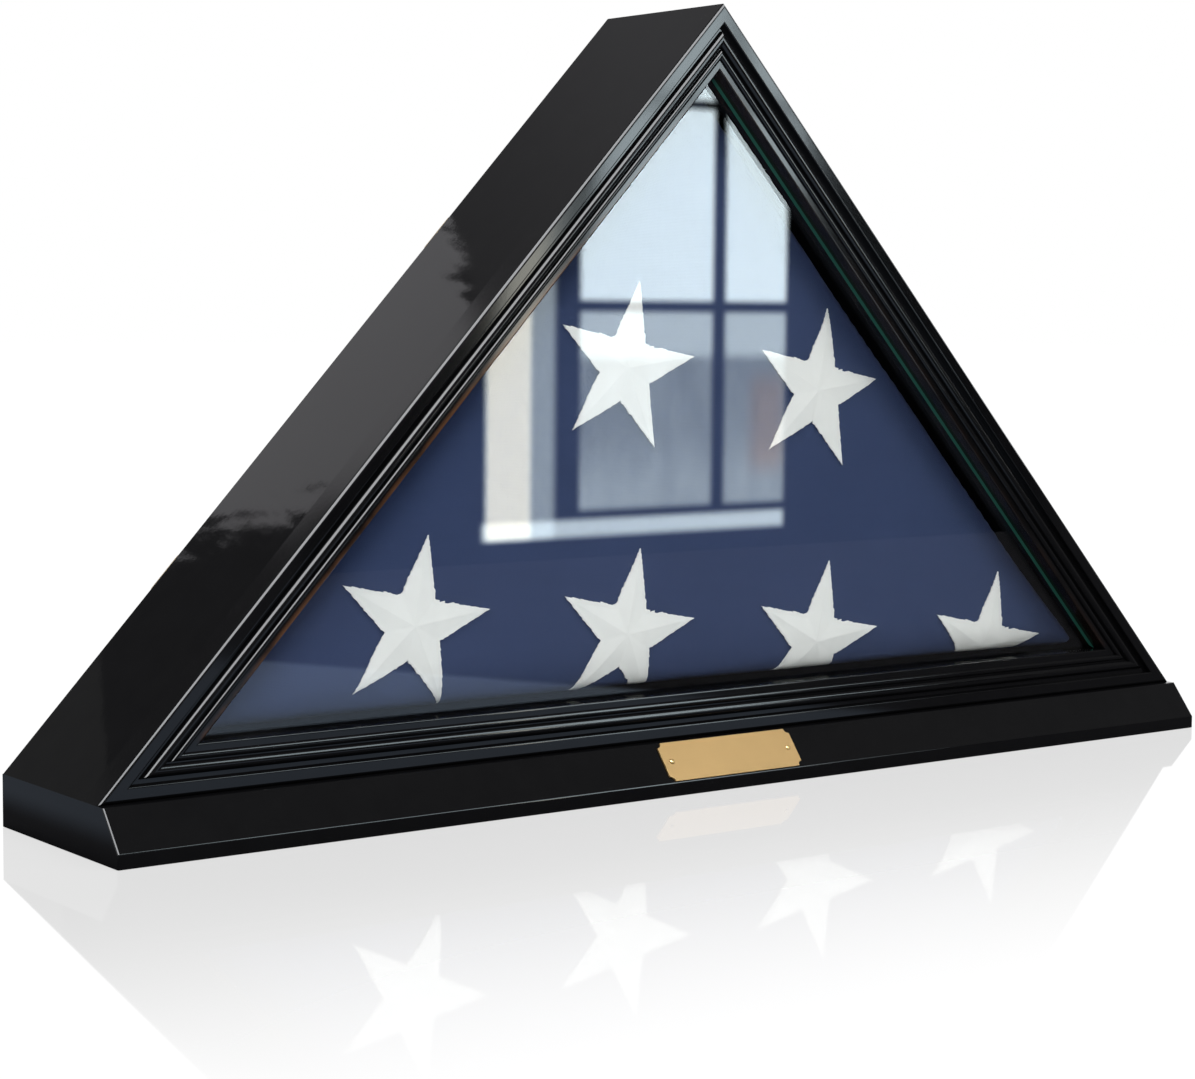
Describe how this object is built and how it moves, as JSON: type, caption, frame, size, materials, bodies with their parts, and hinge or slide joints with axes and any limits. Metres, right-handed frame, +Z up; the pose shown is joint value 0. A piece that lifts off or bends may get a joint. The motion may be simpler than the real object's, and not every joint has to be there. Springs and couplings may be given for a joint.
{
  "type": "folded flag display case",
  "caption": "Triangular black lacquered display case on a plinth, glazed, holding a folded navy flag with white stars, with a bare brass plate and a lift-off back.",
  "frame": {"origin": "middle of the plinth's underside", "axes": "+X to the right along the plinth, -Y to the glazed front, +Z up"},
  "size_m": [0.672, 0.1171, 0.3818],
  "materials": {
    "black_lacquer": "high gloss black lacquer",
    "glass": "clear float glass",
    "navy_cloth": "plain woven, matte",
    "white_cloth": "sewn, matte",
    "back_board": "black, satin",
    "black_felt": "felt",
    "brass_plate": "brushed",
    "brass_hardware": "satin",
    "steel_screws": "zinc plated"
  },
  "bodies": {
    "case": {"plinth": "black_lacquer", "bottom_board": "black_lacquer", "left_side_board": "black_lacquer", "right_side_board": "black_lacquer", "left_front_moulding": "black_lacquer", "right_front_moulding": "black_lacquer", "bottom_front_moulding": "black_lacquer", "left_glass_stop": "black_lacquer", "right_glass_stop": "black_lacquer", "bottom_glass_stop": "black_lacquer", "glass_pane": "glass", "folded_flag": "navy_cloth", "flag_stars": "white_cloth", "name_plate": "brass_plate", "name_plate_pins": "brass_plate", "turn_button_screws": "steel_screws", "base_screws": "steel_screws"},
    "back_panel": {"back_panel": "back_board", "back_felt": "black_felt"},
    "left_lower_turn_button": {"left_lower_turn_button": "brass_hardware"},
    "left_upper_turn_button": {"left_upper_turn_button": "brass_hardware"},
    "right_lower_turn_button": {"right_lower_turn_button": "brass_hardware"},
    "right_upper_turn_button": {"right_upper_turn_button": "brass_hardware"},
    "bottom_left_turn_button": {"bottom_left_turn_button": "brass_hardware"},
    "bottom_right_turn_button": {"bottom_right_turn_button": "brass_hardware"}
  },
  "joints": [
    {"name": "back_panel_lift_off", "type": "slide", "parent": "case", "child": "back_panel", "axis": [0, 1, 0], "range_m": [0, 0.15]},
    {"name": "left_lower_turn", "type": "hinge", "parent": "case", "child": "left_lower_turn_button", "pos_m": [-0.25669, 0.0576, 0.10042], "axis": [0, 1, 0], "continuous": true},
    {"name": "left_upper_turn", "type": "hinge", "parent": "case", "child": "left_upper_turn_button", "pos_m": [-0.10609, 0.0576, 0.26079], "axis": [0, 1, 0], "continuous": true},
    {"name": "right_lower_turn", "type": "hinge", "parent": "case", "child": "right_lower_turn_button", "pos_m": [0.25669, 0.0576, 0.10042], "axis": [0, 1, 0], "continuous": true},
    {"name": "right_upper_turn", "type": "hinge", "parent": "case", "child": "right_upper_turn_button", "pos_m": [0.10609, 0.0576, 0.26079], "axis": [0, 1, 0], "continuous": true},
    {"name": "bottom_left_turn", "type": "hinge", "parent": "case", "child": "bottom_left_turn_button", "pos_m": [-0.17, 0.0576, 0.0295], "axis": [0, 1, 0], "continuous": true},
    {"name": "bottom_right_turn", "type": "hinge", "parent": "case", "child": "bottom_right_turn_button", "pos_m": [0.17, 0.0576, 0.0295], "axis": [0, 1, 0], "continuous": true}
  ]
}
